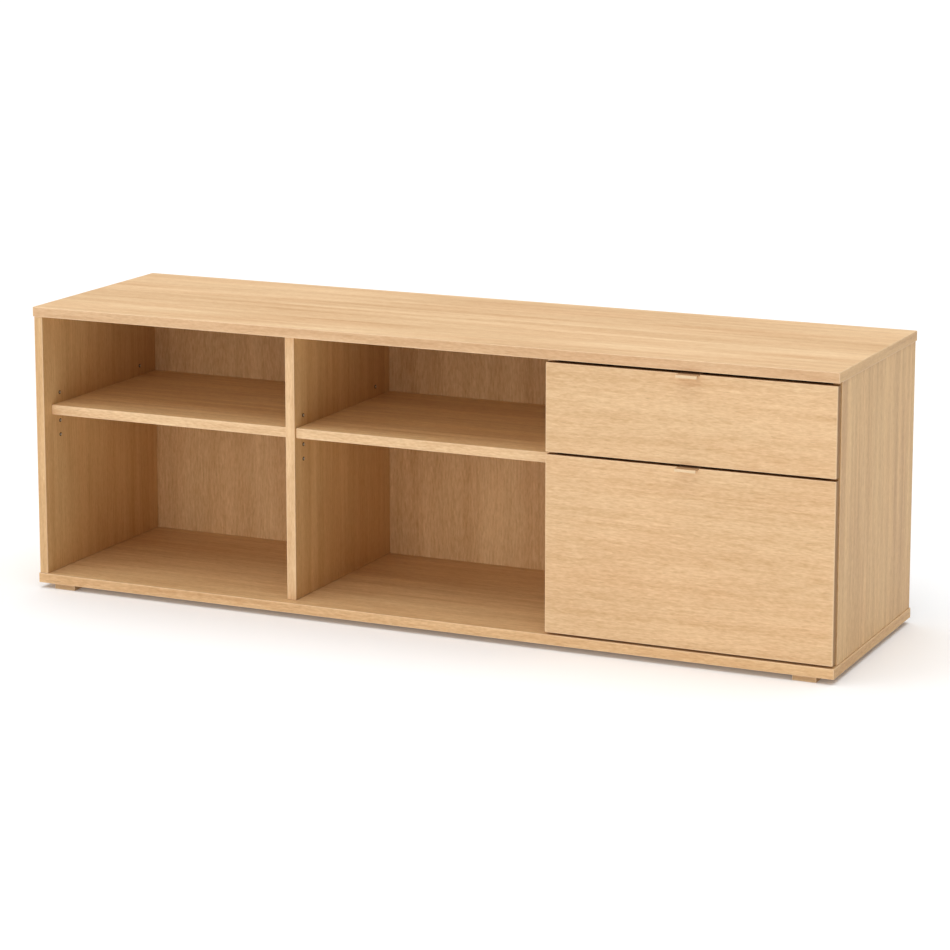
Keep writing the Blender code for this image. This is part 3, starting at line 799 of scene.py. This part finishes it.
def is_end(polygon):
    """One of the two flat ends, which are single faces of many sides."""
    return len(polygon.vertices) > 4


edit_faces(wheel, is_end)
bpy.ops.mesh.bevel(offset=WHEEL_BEVEL, segments=3)
close_edit()
web = WHEEL_R - WHEEL_BEVEL - RIM - WHEEL_BORE_R - HUB
edit_faces(wheel, is_end)
for thickness, depth in (
    (RIM, 0.0),
    (WEB_DRAFT, -WEB_DEPTH),
    (web - 2 * WEB_DRAFT, 0.0),
    (WEB_DRAFT, WEB_DEPTH),
    (HUB, 0.0),
):
    bpy.ops.mesh.inset(thickness=thickness, depth=depth, use_individual=True)
bpy.ops.mesh.bridge_edge_loops()
close_edit()

for node in sorted(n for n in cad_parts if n.endswith("_roller")):
    low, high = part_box(node)
    middle = (low + high) / 2
    spot = middle - Vector((WHEEL_WIDTH / 2, 0, 0))
    piece = place_copy(wheel, f"{node}_wheel", spot, (1, 0, 0), node, "nylon", nylon)
    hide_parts(node)
bpy.data.objects.remove(wheel)

# ---------------------------------------------------------------------------------------
# Wedges behind the back panel: moulded nylon blocks pushed in between the panel and the
# boards above and below it, two in each bay, which keep the panel tight in its grooves.

WEDGE = (0.018, 0.007, 0.009)
WEDGE_TAPER = (0.80, 0.62, 1.0)
WEDGE_RIM = 0.0010
WEDGE_RECESS = 0.0012
WEDGE_BEVEL = 0.0002
WEDGE_GAP = 0.0001
WEDGE_SHARES = (0.2, 0.8)

bpy.ops.object.select_all(action="DESELECT")
bpy.ops.mesh.primitive_cube_add(size=1, location=(0, 0, WEDGE[2] / 2), scale=WEDGE)
wedge = bpy.context.object
wedge.name = "wedge_pattern"
bpy.ops.object.transform_apply(location=True, rotation=True, scale=True)
edit_faces(wedge, faces_up)
bpy.ops.transform.resize(value=WEDGE_TAPER, center_override=(0, 0, WEDGE[2]))
bpy.ops.mesh.inset(thickness=WEDGE_RIM, depth=0)
bpy.ops.mesh.extrude_region_move(TRANSFORM_OT_translate={"value": (0, 0, -WEDGE_RECESS)})
close_edit()
edit_faces(wedge, lambda polygon: True)
bpy.ops.mesh.select_mode(type="EDGE")
bpy.ops.mesh.select_all(action="SELECT")
bpy.ops.mesh.bevel(offset=WEDGE_BEVEL, segments=2)
close_edit()

back_low, back_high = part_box("back_panel")
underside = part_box("top_panel")[0].z - WEDGE[1] / 2 - WEDGE_GAP
bay_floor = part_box("bottom_panel")[1].z + WEDGE[1] / 2 + WEDGE_GAP
bay_walls = (
    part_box("left_side_panel")[1].x,
    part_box("left_partition")[1].x,
    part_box("right_partition")[1].x,
    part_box("right_side_panel")[0].x,
)
for bay, (near, far) in enumerate(zip(bay_walls[:-1], bay_walls[1:]), 1):
    for number, share in enumerate(WEDGE_SHARES, 1):
        along = near + share * (far - near)
        for edge, level in (("upper", underside), ("lower", bay_floor)):
            spot = (along, back_high.y + WEDGE_GAP, level)
            name = f"back_wedge_{edge}_{bay}_{number}"
            place_copy(wedge, name, spot, (0, 1, 0), "cabinet", "nylon", nylon)
bpy.data.objects.remove(wedge)

# ---------------------------------------------------------------------------------------
# The room: a pale floor and soft studio light from above the front left, with a camera
# at standing height in front of the drawers' end.

SENSOR_WIDTH = 36.0
FOCAL_LENGTH = 120.10
LENS_SHIFT = -0.15
CAMERA_PLACE = (2.2121, -4.7944, 1.4209)
CAMERA_DOWN = 10.138
CAMERA_TURN = 24.563
FLOOR_SIZE = 60
FLOOR_GLOW = 0.08
ROOM_GLOW = 0.11
PALE = (0.90, 0.90, 0.90, 1.0)
WHITE = (1.0, 1.0, 1.0, 1.0)

lens = bpy.data.cameras.new("camera")
lens.sensor_width = SENSOR_WIDTH
lens.lens = FOCAL_LENGTH
lens.shift_y = LENS_SHIFT
camera = bpy.data.objects.new("camera", lens)
camera.location = CAMERA_PLACE
camera.rotation_euler = (math.radians(90 - CAMERA_DOWN), 0, math.radians(CAMERA_TURN))
bpy.context.scene.collection.objects.link(camera)
bpy.context.scene.camera = camera

for name, azimuth, elevation, softness, strength in (
    ("top_light", 0, 90, 80, 2.97),
    ("front_light", 0, 20, 40, 0.72),
    ("left_light", -55, 25, 40, 0.38),
):
    light = bpy.data.lights.new(name, "SUN")
    light.angle = math.radians(softness)
    light.energy = strength
    lamp = bpy.data.objects.new(name, light)
    lamp.rotation_euler = (math.radians(90 - elevation), 0, math.radians(azimuth))
    bpy.context.scene.collection.objects.link(lamp)

bpy.ops.object.select_all(action="DESELECT")
bpy.ops.mesh.primitive_plane_add(size=FLOOR_SIZE, location=(0, 0, 0))
floor = bpy.context.object
floor.name = "floor"
floor_finish, floor_tree, floor_shader = new_finish("pale_floor", 0.9)
floor_shader.inputs["Base Color"].default_value = PALE
floor_shader.inputs["Emission Color"].default_value = WHITE
floor_shader.inputs["Emission Strength"].default_value = FLOOR_GLOW
floor.data.materials.append(floor_finish)

# The room lights the bench dimly, and is white behind it.
world = bpy.data.worlds.new("room")
world.use_nodes = True
dim_room = world.node_tree.nodes["Background"]
dim_room.inputs["Color"].default_value = WHITE
seen = add_node(world.node_tree, "ShaderNodeLightPath")["Is Camera Ray"]
glow = pick(world.node_tree, seen, ROOM_GLOW, 1.0)
world.node_tree.links.new(glow, dim_room.inputs["Strength"])
bpy.context.scene.world = world
bpy.context.scene.view_settings.view_transform = "Standard"
